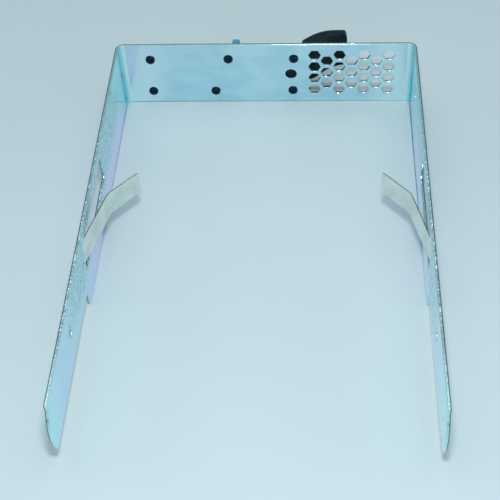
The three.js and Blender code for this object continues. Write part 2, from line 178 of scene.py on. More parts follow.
def inside(p, loops):
    crossings = False
    for loop in loops:
        for i, a in enumerate(loop):
            b = loop[i - 1]
            if (a.y > p.y) != (b.y > p.y) and p.x < (b.x - a.x) * (p.y - a.y) / (b.y - a.y) + a.x:
                crossings = not crossings
    return crossings


def grid_points(loops, spacing):
    """Evenly spread points inside the outline and clear of every rim."""
    outline = loops[0]
    low = Vector((min(p.x for p in outline), min(p.y for p in outline)))
    high = Vector((max(p.x for p in outline), max(p.y for p in outline)))
    rims = {}
    for loop in loops:
        for p in loop:
            rims.setdefault((int(p.x // spacing), int(p.y // spacing)), []).append(p)
    found = []
    rows = max(int((high.y - low.y) / spacing), 1)
    columns = max(int((high.x - low.x) / spacing), 1)
    for row in range(1, rows):
        for column in range(1, columns):
            p = Vector((low.x + (column + 0.5 * (row % 2)) * (high.x - low.x) / columns,
                        low.y + row * (high.y - low.y) / rows))
            cell = (int(p.x // spacing), int(p.y // spacing))
            near = [q for i in (-1, 0, 1) for j in (-1, 0, 1)
                    for q in rims.get((cell[0] + i, cell[1] + j), ())]
            if all((p - q).length > 0.6 * spacing for q in near) and inside(p, loops):
                found.append(p)
    return found


def cap(bm, rings, loops, depth, place, creases, spacing, through, side):
    """One face of a plate: triangles between the rim rings, with bend lines kept as edges."""
    verts = [v for ring in rings for v in ring]
    flat = [p for loop in loops for p in loop]
    edges = []
    start = 0
    for loop in loops:
        edges += [(start + i, start + (i + 1) % len(loop)) for i in range(len(loop))]
        start += len(loop)
    for crease in creases:
        on_line = sorted((i for i in range(len(loops[0])) if abs(flat[i].x - crease) < 1e-5),
                         key=lambda i: flat[i].y)
        edges += list(zip(on_line, on_line[1:]))
    extra = [p for p in grid_points(loops, spacing) if all(abs(p.x - c) > 0.4 for c in creases)]
    points, _, faces, origins, _, _ = delaunay_2d_cdt(flat + extra, edges, [], 1, 1e-6, True)
    made = []
    for p, origin in zip(points, origins):
        known = [i for i in origin if i < len(flat)]
        if known:
            made.append(verts[known[0]])
        else:
            vert = bm.verts.new(place(p.x, p.y, depth))
            vert[through] = side
            made.append(vert)
    for face in faces:
        centre = sum((points[i] for i in face), Vector((0, 0))) / len(face)
        if inside(centre, loops):
            bm.faces.new([made[i] for i in face])


def plate(name, loops, place, creases=(), spacing=4.0):
    """A plate from (outline, profile) loops, outline first and anticlockwise, holes clockwise."""
    bm = bmesh.new()
    rim = bm.verts.layers.float.new("rim")  # 1 on cut walls, 0 on the two faces
    through = bm.verts.layers.float.new("through")  # 0 at the first face, 1 at the last
    first, last = [], []
    for loop, profile in loops:
        rings = []
        for k, (inward, depth) in enumerate(profile):
            ring = []
            for p in inset(loop, inward):
                vert = bm.verts.new(place(p.x, p.y, depth))
                vert[rim] = 0 if k in (0, len(profile) - 1) else 1
                vert[through] = depth / profile[-1][1]
                ring.append(vert)
            rings.append(ring)
        for near, far in zip(rings, rings[1:]):
            for i in range(len(near)):
                j = (i + 1) % len(near)
                bm.faces.new((near[i], near[j], far[j], far[i]))
        first.append(rings[0])
        last.append(rings[-1])
    for rings, step, side in ((first, 0, 0), (last, -1, 1)):
        outlines = [inset(loop, profile[step][0]) for loop, profile in loops]
        cap(bm, rings, outlines, loops[0][1][step][1], place, creases, spacing, through, side)
    return new_object(name, bm)


def arc(cx, cy, radius, start, end, steps=5):
    """Points along an arc, angles in degrees."""
    return [Vector((cx + radius * math.cos(math.radians(start + (end - start) * k / steps)),
                    cy + radius * math.sin(math.radians(start + (end - start) * k / steps))))
            for k in range(steps + 1)]


def bezier(p0, p1, p2, p3, steps=10):
    """Points along a cubic curve, without its first point."""
    p0, p1, p2, p3 = (Vector(p) for p in (p0, p1, p2, p3))
    found = []
    for k in range(1, steps + 1):
        t = k / steps
        found.append(p0 * (1 - t) ** 3 + 3 * p1 * t * (1 - t) ** 2 + 3 * p2 * t * t * (1 - t) + p3 * t ** 3)
    return found


def circle(cx, cy, radius, sides=32):
    """A clockwise ring, for a hole."""
    return [Vector((cx + radius * math.cos(a), cy + radius * math.sin(a)))
            for a in (-2 * math.pi * k / sides for k in range(sides))]


def rounded_rectangle(x0, y0, x1, y1, radius, steps=5):
    return (arc(x0 + radius, y0 + radius, radius, 180, 270, steps)
            + arc(x1 - radius, y0 + radius, radius, 270, 360, steps)
            + arc(x1 - radius, y1 - radius, radius, 0, 90, steps)
            + arc(x0 + radius, y1 - radius, radius, 90, 180, steps))


def curve(start, bend, end, steps, first=1):
    """Points along a quadratic curve, without its start unless first is 0."""
    return [start * (1 - t) ** 2 + 2 * bend * t * (1 - t) + end * t * t
            for t in (k / steps for k in range(first, steps + 1))]


def rounded_corners(corners, radius, steps=2):
    """Cuts each corner of an outline with a small curve."""
    found = []
    for i, here in enumerate(corners):
        before, after = corners[i - 1], corners[(i + 1) % len(corners)]
        start = here + (before - here).normalized() * radius
        end = here + (after - here).normalized() * radius
        found += curve(start, here, end, steps, first=0)
    return found


def split_at(outline, creases):
    """Adds a point wherever an outline crosses a bend line."""
    found = []
    for i, a in enumerate(outline):
        b = outline[(i + 1) % len(outline)]
        found.append(a)
        crossed = [c for c in creases if min(a.x, b.x) + 1e-6 < c < max(a.x, b.x) - 1e-6]
        for c in sorted(crossed, reverse=b.x < a.x):
            found.append(Vector((c, a.y + (b.y - a.y) * (c - a.x) / (b.x - a.x))))
    return found


class FoldedPath:
    """A plan line through corners, each rounded, that turns a developed length into a place."""

    def __init__(self, corners, radii):
        corners = [Vector(c) for c in corners]
        self.pieces = []
        self.creases = []
        length = 0
        used = 0
        for i in range(len(corners) - 1):
            a, b = corners[i], corners[i + 1]
            along = (b - a).normalized()
            turn = 0
            if i + 2 < len(corners):
                after = (corners[i + 2] - b).normalized()
                turn = math.atan2(along.x * after.y - along.y * after.x, along.dot(after))
            radius = radii[i] if turn else 0
            tangent = radius * math.tan(abs(turn) / 2)
            straight = (b - a).length - used - tangent
            self.pieces.append((length, straight, a + along * used, along, 0))
            length += straight
            if turn:
                swept = radius * abs(turn)
                self.pieces.append((length, swept, b - along * tangent, along, turn))
                steps = max(int(math.degrees(abs(turn)) / 8), 3)
                self.creases += [length + swept * k / steps for k in range(steps + 1)]
                length += swept
            used = tangent
        self.length = length

    def at(self, u):
        """The point on the line and the direction to its left."""
        passed = [p for p in self.pieces if p[0] <= u + 1e-9]
        start, size, origin, along, turn = passed[-1] if passed else self.pieces[0]
        run = u - start
        left = Vector((-along.y, along.x))
        if not turn:
            return origin + along * run, left
        radius = size / turn
        angle = run / radius
        centre = origin + left * radius
        now_left = Vector((-math.sin(angle) * along.x - math.cos(angle) * along.y,
                           math.cos(angle) * along.x - math.sin(angle) * along.y))
        return centre - now_left * radius, now_left

    def place(self, thickness):
        def at(u, z, depth):
            p, left = self.at(u)
            p = p + left * (thickness / 2 - depth)
            return point(p.x, p.y, z)
        return at


def upright(z_from):
    """Places a plan outline, drawn in x and s, as a solid that stands up from z_from."""
    return lambda x, s, depth: point(x, s, z_from + depth)


def sideways(x_from):
    """Places a side outline, drawn in s and z, as a solid that runs along x."""
    return lambda s, z, depth: point(x_from + depth, s, z)


def rearward(s_from):
    """Places a front outline, drawn in x and z, as a solid that runs back from s_from."""
    return lambda x, z, depth: point(x, s_from + depth, z)


def slab(name, outline, z0, z1, radius, spacing=4.0):
    profile = rounded_profile(z1 - z0, radius)
    return plate(name, [(outline, profile)], upright(z0), spacing=spacing)


def turned(name, origin, direction, profile, sides=32, shape=None):
    """A piece turned about a line, from (radius, distance along) pairs that start and end on the axis."""
    bm = bmesh.new()
    along = Vector(direction).normalized()
    side = along.orthogonal().normalized()
    up = along.cross(side)
    rings = []
    for radius, distance in profile:
        if radius == 0:
            ring = [bm.verts.new((origin + along * distance) * MM)] * sides
        else:
            ring = []
            for k in range(sides):
                a = 2 * math.pi * k / sides
                out = side * math.cos(a) + up * math.sin(a)
                lift = shape(radius, a) if shape else 0
                ring.append(bm.verts.new((origin + out * radius + along * (distance + lift)) * MM))
        rings.append(ring)
    for near, far in zip(rings, rings[1:]):
        for i in range(sides):
            j = (i + 1) % sides
            corners = []
            for v in (near[i], near[j], far[j], far[i]):
                if v not in corners:
                    corners.append(v)
            if len(corners) > 2:
                bm.faces.new(corners)
    return new_object(name, bm)


def chamfered(radius, start, end, chamfer):
    return [(0, start), (radius - chamfer, start), (radius, start + chamfer),
            (radius, end - chamfer), (radius - chamfer, end), (0, end)]


def drill(origin, direction, radius, start, end, sides=32):
    """A round cutter along a line."""
    return turned("drill", origin, direction, [(0, start), (radius, start), (radius, end), (0, end)], sides)


def wire(name, route, radius, sides=10):
    """A round wire along a list of points in millimetres."""
    bm = bmesh.new()
    rings = []
    for i, p in enumerate(route):
        along = (route[min(i + 1, len(route) - 1)] - route[max(i - 1, 0)]).normalized()
        across = along.cross(Vector((0, 0, 1)) if abs(along.z) < 0.9 else Vector((1, 0, 0))).normalized()
        up = along.cross(across)
        rings.append([bm.verts.new((p + (across * math.cos(a) + up * math.sin(a)) * radius) * MM)
                      for a in (2 * math.pi * k / sides for k in range(sides))])
    for near, far in zip(rings, rings[1:]):
        for i in range(sides):
            bm.faces.new((near[i], near[(i + 1) % sides], far[(i + 1) % sides], far[i]))
    bm.faces.new(rings[0])
    bm.faces.new(rings[-1])
    return new_object(name, bm)


def combined(name, base, others, operation):
    """The union of solids, or base with the others cut away, as one new mesh."""
    for other in others:
        modifier = base.modifiers.new("combine", "BOOLEAN")
        modifier.operation = operation
        modifier.object = other
        modifier.solver = "EXACT"
    graph = bpy.context.evaluated_depsgraph_get()
    mesh = bpy.data.meshes.new_from_object(base.evaluated_get(graph))
    for old in [base, *others]:
        bpy.data.objects.remove(old)
    mesh.name = name
    obj = add_object(name, mesh)
    bm = bmesh.new()
    bm.from_mesh(mesh)
    bmesh.ops.remove_doubles(bm, verts=bm.verts, dist=1e-6)
    mark_sharp(bm)
    bm.to_mesh(mesh)
    bm.free()
    return obj


def box_cutter(low, high):
    bm = bmesh.new()
    bmesh.ops.create_cube(bm, size=1)
    size = Vector(high) - Vector(low)
    for v in bm.verts:
        v.co = point(*(low[i] + (v.co[i] + 0.5) * size[i] for i in range(3)))
    return new_object("cutter", bm)


# ------------------------------------------------------------------ materials
class Nodes:
    """Short calls for building one material's node tree."""

    def __init__(self, name):
        self.material = bpy.data.materials.new(name)
        self.material.use_nodes = True
        self.tree = self.material.node_tree
        self.shader = self.tree.nodes["Principled BSDF"]
        coordinates = self.tree.nodes.new("ShaderNodeTexCoord")
        self.mm = self.scaled(coordinates.outputs["Object"], 1 / MM)

    def link(self, value, socket):
        if isinstance(value, (int, float)):
            socket.default_value = value
        elif isinstance(value, tuple):
            socket.default_value = (*value, 1) if len(value) == 3 and socket.type == "RGBA" else value
        else:
            self.tree.links.new(value, socket)

    def vector(self, operation, *values):
        node = self.tree.nodes.new("ShaderNodeVectorMath")
        node.operation = operation
        for value, socket in zip(values, node.inputs):
            self.link(value, socket)
        return node.outputs[0]

    def scaled(self, vector, factor):
        node = self.tree.nodes.new("ShaderNodeVectorMath")
        node.operation = "SCALE"
        self.link(vector, node.inputs[0])
        self.link(factor, node.inputs["Scale"])
        return node.outputs[0]

    def noise(self, size, detail=3, roughness=0.5, stretch=(1, 1, 1), distortion=0):
        """Smooth noise whose blobs are about that many millimetres across."""
        node = self.tree.nodes.new("ShaderNodeTexNoise")
        self.link(self.vector("MULTIPLY", self.mm, stretch), node.inputs["Vector"])
        node.inputs["Scale"].default_value = 1 / size
        node.inputs["Detail"].default_value = detail
        node.inputs["Roughness"].default_value = roughness
        node.inputs["Distortion"].default_value = distortion
        return node.outputs["Fac"]

    def cells(self, size):
        """A colour of its own in each cell about that many millimetres across."""
        node = self.tree.nodes.new("ShaderNodeTexVoronoi")
        self.link(self.mm, node.inputs["Vector"])
        node.inputs["Scale"].default_value = 1 / size
        return node.outputs["Color"]

    def math(self, operation, *values):
        node = self.tree.nodes.new("ShaderNodeMath")
        node.operation = operation
        for value, socket in zip(values, node.inputs):
            self.link(value, socket)
        return node.outputs[0]

    def product(self, first, *others):
        for other in others:
            first = self.math("MULTIPLY", first, other)
        return first

    def fade(self, value, low, high, out_low=0.0, out_high=1.0):
        """Maps value from low..high to out_low..out_high, smoothly and clamped."""
        node = self.tree.nodes.new("ShaderNodeMapRange")
        node.interpolation_type = "SMOOTHSTEP"
        self.link(value, node.inputs["Value"])
        node.inputs["From Min"].default_value = low
        node.inputs["From Max"].default_value = high
        node.inputs["To Min"].default_value = out_low
        node.inputs["To Max"].default_value = out_high
        return node.outputs["Result"]

    def mix(self, factor, first, second):
        node = self.tree.nodes.new("ShaderNodeMix")
        node.data_type = "RGBA"
        self.link(factor, node.inputs["Factor"])
        self.link(first, node.inputs["A"])
        self.link(second, node.inputs["B"])
        return node.outputs["Result"]

    def axis(self, name):
        node = self.tree.nodes.new("ShaderNodeSeparateXYZ")
        self.link(self.mm, node.inputs[0])
        return node.outputs[name]

    def attribute(self, name):
        node = self.tree.nodes.new("ShaderNodeAttribute")
        node.attribute_name = name
        return node.outputs["Fac"]

    def bump(self, height, distance, strength, below=None):
        node = self.tree.nodes.new("ShaderNodeBump")
        node.inputs["Strength"].default_value = strength
        node.inputs["Distance"].default_value = distance * MM
        self.link(height, node.inputs["Height"])
        if below is not None:
            self.link(below, node.inputs["Normal"])
        return node.outputs["Normal"]

    def facets(self, size, tilt):
        """A normal that leans a little in each small grain of the plating."""
        lean = self.vector("SUBTRACT", self.cells(size), (0.5, 0.5, 0.5))
        normal = self.tree.nodes.new("ShaderNodeNewGeometry").outputs["Normal"]
        return self.vector("NORMALIZE", self.vector("ADD", normal, self.scaled(lean, tilt)))

    def set(self, **sockets):
        for name, value in sockets.items():
            self.link(value, self.shader.inputs[name.replace("_", " ")])
        return self.material


ZINC = {
    "flange": ((0.52, 0.78, 0.88), (0.61, 0.85, 0.94)),
    # painted light: the flange is lighter towards its ends
    "flange_ends_painted_light": (0.80, 0.97, 1.0),
    "rail_near": ((0.62, 0.77, 0.98), (0.76, 0.75, 1.0)),
    "rail_far": ((0.53, 0.80, 0.97), (0.64, 0.76, 1.0)),
    "by_flange": (0.31, 0.75, 0.87),
    "rail_end": (0.52, 0.90, 0.97),
    "rail_upper": (0.46, 0.81, 0.85),
    # painted glints: the dark and pale specks on the rails' upper band
    "painted_dark_speck": (0.16, 0.42, 0.46),
    "painted_glint": (0.88, 0.99, 0.97),
    "sheared": ((0.50, 0.78, 0.80), (0.70, 0.92, 0.88)),
    # near-black cut edge: partly torn steel, partly painted shade
    "torn_edge_and_shade": (0.05, 0.16, 0.19),
}


def zinc_material():
    """Blue-passivated zinc plate: a near-mirror with drifting blue, violet and green tints."""
    n = Nodes("zinc_plated_steel")
    x, y, z = n.axis("X"), n.axis("Y"), n.axis("Z")
    cut, through = n.attribute("rim"), n.attribute("through")
    strength = n.fade(through, 0, 1, 1.0, 0.4)  # the tints and sparkle are weaker on the outer face
    drift = n.noise(34, detail=2, stretch=(1, 0.55, 1.6), distortion=0.6)
    patch = n.noise(12, detail=3, stretch=(1, 0.5, 1.5), distortion=0.8)
    along = n.math("SUBTRACT", y, FLANGE_Y)
    wander = n.math("ADD", along, n.fade(drift, 0.3, 0.7, -6, 6))
    across = n.math("ABSOLUTE", x)
    on_rail = n.fade(across, 49.6, 51.0)

    flange = n.mix(n.fade(patch, 0.35, 0.65), *ZINC["flange"])
    # The flange is painted lighter towards its two ends: painted reflected light.
    flange = n.mix(n.fade(across, 32, 45, 0, 0.9), flange, ZINC["flange_ends_painted_light"])
    near = n.mix(n.fade(drift, 0.40, 0.62), *ZINC["rail_near"])
    far = n.mix(n.fade(patch, 0.38, 0.62), *ZINC["rail_far"])
    rail = n.mix(n.fade(wander, 75, 110), near, far)
    rail = n.mix(n.product(n.fade(wander, 23, 7), strength), rail, ZINC["by_flange"])
    rail = n.mix(n.fade(wander, 128, 146), rail, ZINC["rail_end"])
    height = n.math("ADD", z, n.fade(drift, 0.3, 0.7, -3.5, 3.5))
    upper = n.product(n.fade(height, 9, 17), on_rail, strength)
    rail = n.mix(n.product(upper, n.fade(wander, 132, 104, 0.1, 0.85)), rail, ZINC["rail_upper"])
    plated = n.mix(on_rail, flange, rail)

    grain = n.noise(0.35, detail=4, roughness=0.65, stretch=(1, 0.35, 1))
    sparkle = n.product(upper, n.fade(wander, 12, 42), n.fade(wander, 130, 104))
    # Pale and dark specks painted into the colour of the rails' upper band: painted glints.
    glint_speck_noise = n.noise(0.5, detail=2)
    pale = n.product(sparkle, n.fade(glint_speck_noise, 0.52, 0.66), 0.45)
    deep = n.product(sparkle, n.fade(glint_speck_noise, 0.46, 0.34), 0.5)
    toned = n.mix(pale, n.mix(deep, plated, ZINC["painted_dark_speck"]), ZINC["painted_glint"])

    # A punched edge is sheared bright for part of the sheet's thickness and near-black beyond it: partly
    # the torn zone's own colour, partly painted shade on the cut walls.
    sheared = n.mix(n.fade(n.noise(1.1, detail=3), 0.42, 0.6), *ZINC["sheared"])
    edge = n.mix(n.fade(through, 0.58, 0.74), sheared, ZINC["torn_edge_and_shade"])
    trimmed = n.mix(n.product(cut, 0.85), toned, edge)
    # A dark line is painted along the lower edge of the raised part of each rail.
    step = n.fade(along, REAR_STEP["at"], REAR_STEP["at"] + 1, -5, REAR_STEP["height"])
    lower_edge_line = n.product(n.fade(n.math("SUBTRACT", z, step), 0.55, 0.25), on_rail)
    colour = n.mix(n.product(lower_edge_line, 0.8), trimmed, ZINC["torn_edge_and_shade"])

    rough = n.math("ADD", n.fade(grain, 0.3, 0.7, 0.10, 0.17), n.product(sparkle, 0.06))
    crystals = n.facets(0.5, n.math("ADD", n.product(sparkle, 0.42), 0.02))
    waves = n.bump(n.noise(22, detail=1), 0.25, 0.5, below=crystals)
    return n.set(Base_Color=colour, Metallic=1.0, Roughness=rough,
                 Normal=n.bump(grain, 0.015, 0.5, below=waves))


def spring_material():
    """Bare rolled spring strip, straw grey, with fine lines along its length and sheared edges painted
    near-black, partly their own darker colour and partly painted shade.
    """
    n = Nodes("spring_steel")
    lines = n.noise(0.25, detail=4, roughness=0.6, stretch=(0.08, 0.08, 1))
    stain = n.noise(6, detail=3)
    base = n.mix(n.fade(stain, 0.35, 0.65), (0.70, 0.76, 0.71), (0.83, 0.87, 0.82))
    # The cut edges are painted near-black: partly darker steel, partly painted shade.
    colour = n.mix(n.product(n.attribute("rim"), 0.8), base, (0.08, 0.12, 0.13))
    rough = n.fade(lines, 0.3, 0.7, 0.24, 0.36)
    return n.set(Base_Color=colour, Metallic=1.0, Roughness=rough, Normal=n.bump(lines, 0.012, 0.5))


def pin_material():
    n = Nodes("plated_pin")
    rings = n.noise(0.3, detail=3)
    stain = n.noise(1.8, detail=2)
    base = n.mix(n.fade(stain, 0.35, 0.65), (0.55, 0.57, 0.58), (0.68, 0.69, 0.68))
    return n.set(Base_Color=base, Metallic=1.0, Roughness=n.fade(rings, 0.3, 0.7, 0.24, 0.38),
                 Normal=n.bump(rings, 0.01, 0.4))


def moulded_material(name, tints, roughness, gloss):
    """Injection-moulded plastic with a fine spark-eroded texture, rubbed smoother in patches."""
    n = Nodes(name)
    texture = n.noise(0.28, detail=4, roughness=0.7)
    rubbed = n.noise(7, detail=3)
    colour = n.mix(n.fade(n.noise(2.5, detail=3), 0.35, 0.65), *tints)
    rough = n.math("ADD", n.fade(rubbed, 0.4, 0.6, *roughness), n.fade(texture, 0.3, 0.7, -0.04, 0.04))
    return n.set(Base_Color=colour, Roughness=rough, Normal=n.bump(texture, 0.05, 0.5),
                 Specular_IOR_Level=gloss)


def screw_material():
    n = Nodes("black_screw")
    flow = n.noise(0.4, detail=3)
    # Lighter specks painted on the heads: partly wear, partly painted highlights.
    wear_and_highlight_specks = n.fade(n.noise(0.9, detail=4), 0.55, 0.75)
    colour = n.mix(n.product(wear_and_highlight_specks, 0.5), (0.008, 0.030, 0.052), (0.16, 0.30, 0.38))
    return n.set(Base_Color=colour, Metallic=0.9, Roughness=n.fade(flow, 0.3, 0.7, 0.07, 0.15),
                 Normal=n.bump(flow, 0.01, 0.4))


def floor_material():
    """A plain pale bench top, nearly matte."""
    n = Nodes("bench_top")
    cloud = n.noise(90, detail=2)
    tooth = n.noise(0.8, detail=3)
    colour = n.mix(n.fade(cloud, 0.35, 0.65), (0.585, 0.718, 0.750), (0.600, 0.733, 0.765))
    return n.set(Base_Color=colour, Roughness=n.fade(tooth, 0.3, 0.7, 0.46, 0.54),
                 Normal=n.bump(tooth, 0.01, 0.2), Specular_IOR_Level=0.3)


BLACK = ((0.004, 0.013, 0.017), (0.007, 0.020, 0.026))
BLUE = ((0.080, 0.255, 0.47), (0.10, 0.30, 0.53))
MATERIALS = {
    "zinc_plated_steel": zinc_material(),
    "spring_steel": spring_material(),
    "plated_pin": pin_material(),
    "black_plastic": moulded_material("black_plastic", BLACK, (0.34, 0.46), 0.16),
    "black_screw": screw_material(),
    "blue_plastic": moulded_material("blue_plastic", BLUE, (0.28, 0.38), 0.4),
}


def dress(obj, slot, body, *nodes):
    """Gives a finished piece its material, its CAD body and the nodes it stands for."""
    obj.data.materials.clear()
    obj.data.materials.append(MATERIALS[slot])
    obj.modifiers.new("face_weighted_normals", "WEIGHTED_NORMAL").keep_sharp = True
    if body:
        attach(obj, body)
    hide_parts(*nodes)
    return obj


# ------------------------------------------------------------------ camera, floor and light
# The camera looks back over the open end of the tray, a little from its right.
CAMERA = {"at": (-18.29, 234.01, 258.58), "pitch": 47.93, "yaw": 4.10, "roll": -2.94,
          "lens": 78.28, "sensor": 36, "shift": (-0.0313, -0.0109)}
BENCH = {"half": 3.0, "below": 0.00005}  # metres; just under the tray, so that no face is shared
SKY = {"colour": (0.80, 0.92, 1.0, 1), "strength": 0.44}


def add_camera():
    data = bpy.data.cameras.new("camera")
    data.sensor_width = CAMERA["sensor"]
    data.lens = CAMERA["lens"]
    data.shift_x, data.shift_y = CAMERA["shift"]
    data.clip_start, data.clip_end = 0.01, 20
    camera = add_object("camera", data)
    turn = (Matrix.Rotation(math.radians(180 + CAMERA["yaw"]), 4, "Z")
            @ Matrix.Rotation(math.radians(90 - CAMERA["pitch"]), 4, "X")
            @ Matrix.Rotation(math.radians(CAMERA["roll"]), 4, "Z"))
    camera.matrix_world = Matrix.Translation(Vector(CAMERA["at"]) * MM) @ turn
    bpy.context.scene.camera = camera


def add_floor():
    bm = bmesh.new()
    bmesh.ops.create_grid(bm, x_segments=8, y_segments=8, size=BENCH["half"])
    floor = new_object("bench", bm)
    floor.location.z = -BENCH["below"]
    floor.data.materials.append(floor_material())


def add_area_light(name, at, toward, size, power):
    """A soft light, placed in metres and sized across and along."""
    data = bpy.data.lights.new(name, "AREA")
    data.shape = "RECTANGLE"
    data.size, data.size_y = size
    data.energy = power
    light = add_object(name, data)
    light.location = at
    light.rotation_euler = (Vector(toward) - Vector(at)).to_track_quat("-Z", "Y").to_euler()


def add_world():
    world = bpy.data.worlds.new("studio")
    world.use_nodes = True
    background = world.node_tree.nodes["Background"]
    background.inputs["Color"].default_value = SKY["colour"]
    background.inputs["Strength"].default_value = SKY["strength"]
    bpy.context.scene.world = world
    bpy.context.scene.view_settings.view_transform = "Standard"


add_camera()
add_floor()
add_world()
add_area_light("overhead_light", (0.0, -0.1, 1.3), (0, 0, 0), (1.6, 1.4), 4.6)
add_area_light("key_light", (-0.018, 0.161, 0.295), (0, 0, 0), (0.035, 0.035), 0.43)
add_area_light("left_light", (-1.1, 0.1, 0.5), (0, 0, 0.02), (0.9, 0.5), 0.8)
add_area_light("right_light", (1.1, 0.0, 0.6), (0, 0, 0.02), (0.9, 0.5), 1.0)


# ------------------------------------------------------------------ folded steel tray
def tray_path():
    mid = OUTSIDE - SHEET / 2
    corners = [(-mid, RAIL_END), (-mid, -SHEET / 2), (mid, -SHEET / 2), (mid, RAIL_END)]
    radius = BEND_INSIDE + SHEET / 2
    return FoldedPath(corners, [radius, radius])


def folded_tray():
    path = tray_path()
    centre = path.length / 2
    flat = path.pieces[2][1] / 2  # half of the flange's flat part
    arc_length = path.pieces[1][1]

    def rail_u(s):
        """Distance from the middle of the flange to a place on a rail."""
        return flat + arc_length + (s - BEND_INSIDE)

    step, at, corner = REAR_STEP["height"], REAR_STEP["at"], REAR_STEP["corner"]
    edge = RAIL_END - RAIL_END_BOW
    notch = edge - RAIL_TOP_NOTCH["depth"]
    low, high = Vector((edge, step + RAIL_END_CORNER)), Vector((edge, RAIL_TOP_NOTCH["shoulder"]))
    bow = Vector((2 * RAIL_END - edge, (low.y + high.y) / 2))
    side = ([Vector((at, 0))]
            + arc(at + corner, step - corner, corner, 180, 90)
            + arc(edge - RAIL_END_CORNER, step + RAIL_END_CORNER, RAIL_END_CORNER, -90, 0, 8)
            + curve(low, bow, high, 8)
            + [Vector((notch, RAIL_TOP_NOTCH["foot"])), Vector((notch, TOP))])
    half = [Vector((rail_u(p.x), p.y)) for p in side]
    outline = ([Vector((centre + p.x, p.y)) for p in half]
               + [Vector((centre - p.x, p.y)) for p in reversed(half)])
    outline = split_at(outline, path.creases)
    edge_round = rounded_profile(SHEET, 0.18)
    loops = [(outline, edge_round)]

    column_pitch = CELL["pitch"] * math.sqrt(3) / 2
    circumradius = CELL["flats"] / math.sqrt(3)
    for column in range(CELL["columns"]):
        rows = 3 if column % 2 else 4
        cx = CELL["x"] + (column - (CELL["columns"] - 1) / 2) * column_pitch
        for row in range(rows):
            cz = CELL["z"] + (row - (rows - 1) / 2) * CELL["pitch"]
            corners = [Vector((centre + cx + circumradius * math.cos(a), cz + circumradius * math.sin(a)))
                       for a in (-math.pi / 3 * k for k in range(6))]
            loops.append((rounded_corners(corners, CELL["corner"]), edge_round))
    for k in range(1, 7):
        place = middle_mm(f"bezel_screw_{k}")
        loops.append((circle(centre + place.x, place.z, SCREW_HOLE, 24), edge_round))
    loops.append((circle(centre + SPARE_HOLE["x"], SPARE_HOLE["z"], SPARE_HOLE["radius"], 36), edge_round))

    half_window = WINDOW["height"] / 2
    countersunk = countersunk_profile(SHEET, 0.13, DRIVE_HOLE)
    for name, sign in (("left", -1), ("right", 1)):
        ends = sorted(centre + sign * rail_u(s) for s in (WINDOW["from"], WINDOW["to"]))
        window = rounded_rectangle(ends[0], RAIL_AXIS_Z - half_window, ends[1], RAIL_AXIS_Z + half_window,
                                   WINDOW["corner"])
        loops.append((list(reversed(window)), edge_round))
        for s in DRIVE_HOLES_AT:
            hole = circle(centre + sign * rail_u(s), RAIL_AXIS_Z, DRIVE_HOLE["radius"], 40)
            loops.append((hole, countersunk))
        for k in (1, 2):
            s = middle_mm(f"{name}_spring_rivet_{k}").y - FLANGE_Y
            loops.append((circle(centre + sign * rail_u(s), RAIL_AXIS_Z, RIVET["hole"], 20), edge_round))
    obj = plate("folded_tray", loops, path.place(SHEET), path.creases)
    return dress(obj, "zinc_plated_steel", "tray", "tray_frame")


# ------------------------------------------------------------------ leaf springs
def leaf_spring(name, side):
    low, high = box_mm(f"{name}_spring_base")
    outer = (low.x + high.x) / 2
    base_end = high.y - FLANGE_Y
    corners = [(outer, base_end), (outer, SPRING_ROOT_AT),
               (side * (OUTSIDE - BLADE_BEND["inboard"]), BLADE_BEND["at"]),
               (side * (OUTSIDE - BLADE_TIP["inboard"]), BLADE_TIP["at"])]
    path = FoldedPath(corners, [SPRING_ROOT_RADIUS, BLADE_BEND["radius"]])
    outline = split_at(rounded_rectangle(0, low.z, path.length, high.z, STRIP_CORNER, 4), path.creases)
    thin = rounded_profile(STRIP, STRIP_ROUND, 2)
    loops = [(outline, thin)]
    for k in (1, 2):
        s = middle_mm(f"{name}_spring_rivet_{k}").y - FLANGE_Y
        loops.append((circle(base_end - s, RAIL_AXIS_Z, RIVET["hole"], 20), thin))
    obj = plate(f"{name}_leaf_spring", loops, path.place(STRIP), path.creases, spacing=2.0)
    dress(obj, "spring_steel", None, f"{name}_spring_blade", f"{name}_spring_base")
    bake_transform(obj)

    for k in (1, 2):
        node = f"{name}_spring_rivet_{k}"
        low, high = box_mm(node)
        inner, outer_end = (low.x, high.x) if side > 0 else (-high.x, -low.x)
        seat = OUTSIDE + RIVET["seat"]
        brim = seat + RIVET["brim"]
        radius = (high.z - low.z) / 2
        shank, chamfer = RIVET["shank"], RIVET["chamfer"]
        profile = [(0, inner), (shank - chamfer, inner), (shank, inner + chamfer),
                   (shank, seat), (radius, seat)]
        profile += [(radius * math.cos(a), brim + (outer_end - brim) * math.sin(a))
                    for a in (math.pi / 2 * i / 6 for i in range(6))] + [(0, outer_end)]
        origin = Vector((0, (low.y + high.y) / 2, RAIL_AXIS_Z))
        rivet = turned(f"{name}_rivet_{k}", origin, (side, 0, 0), profile, 28)
        dress(rivet, "plated_pin", "tray", node)


# ------------------------------------------------------------------ bezel and its screws
def clamped(value):
    return max(0.0, min(1.0, value))


def screw_recess(radius, angle):
    """How far the cross recess moves one place on a screw head."""
    x, y = abs(radius * math.cos(angle)), abs(radius * math.sin(angle))
    wall = clamped((RECESS["half_arm"] - min(x, y)) / RECESS["wall"])
    reach = clamped((RECESS["reach"] - max(x, y)) / RECESS["ramp"])
    return -RECESS["depth"] * wall * reach


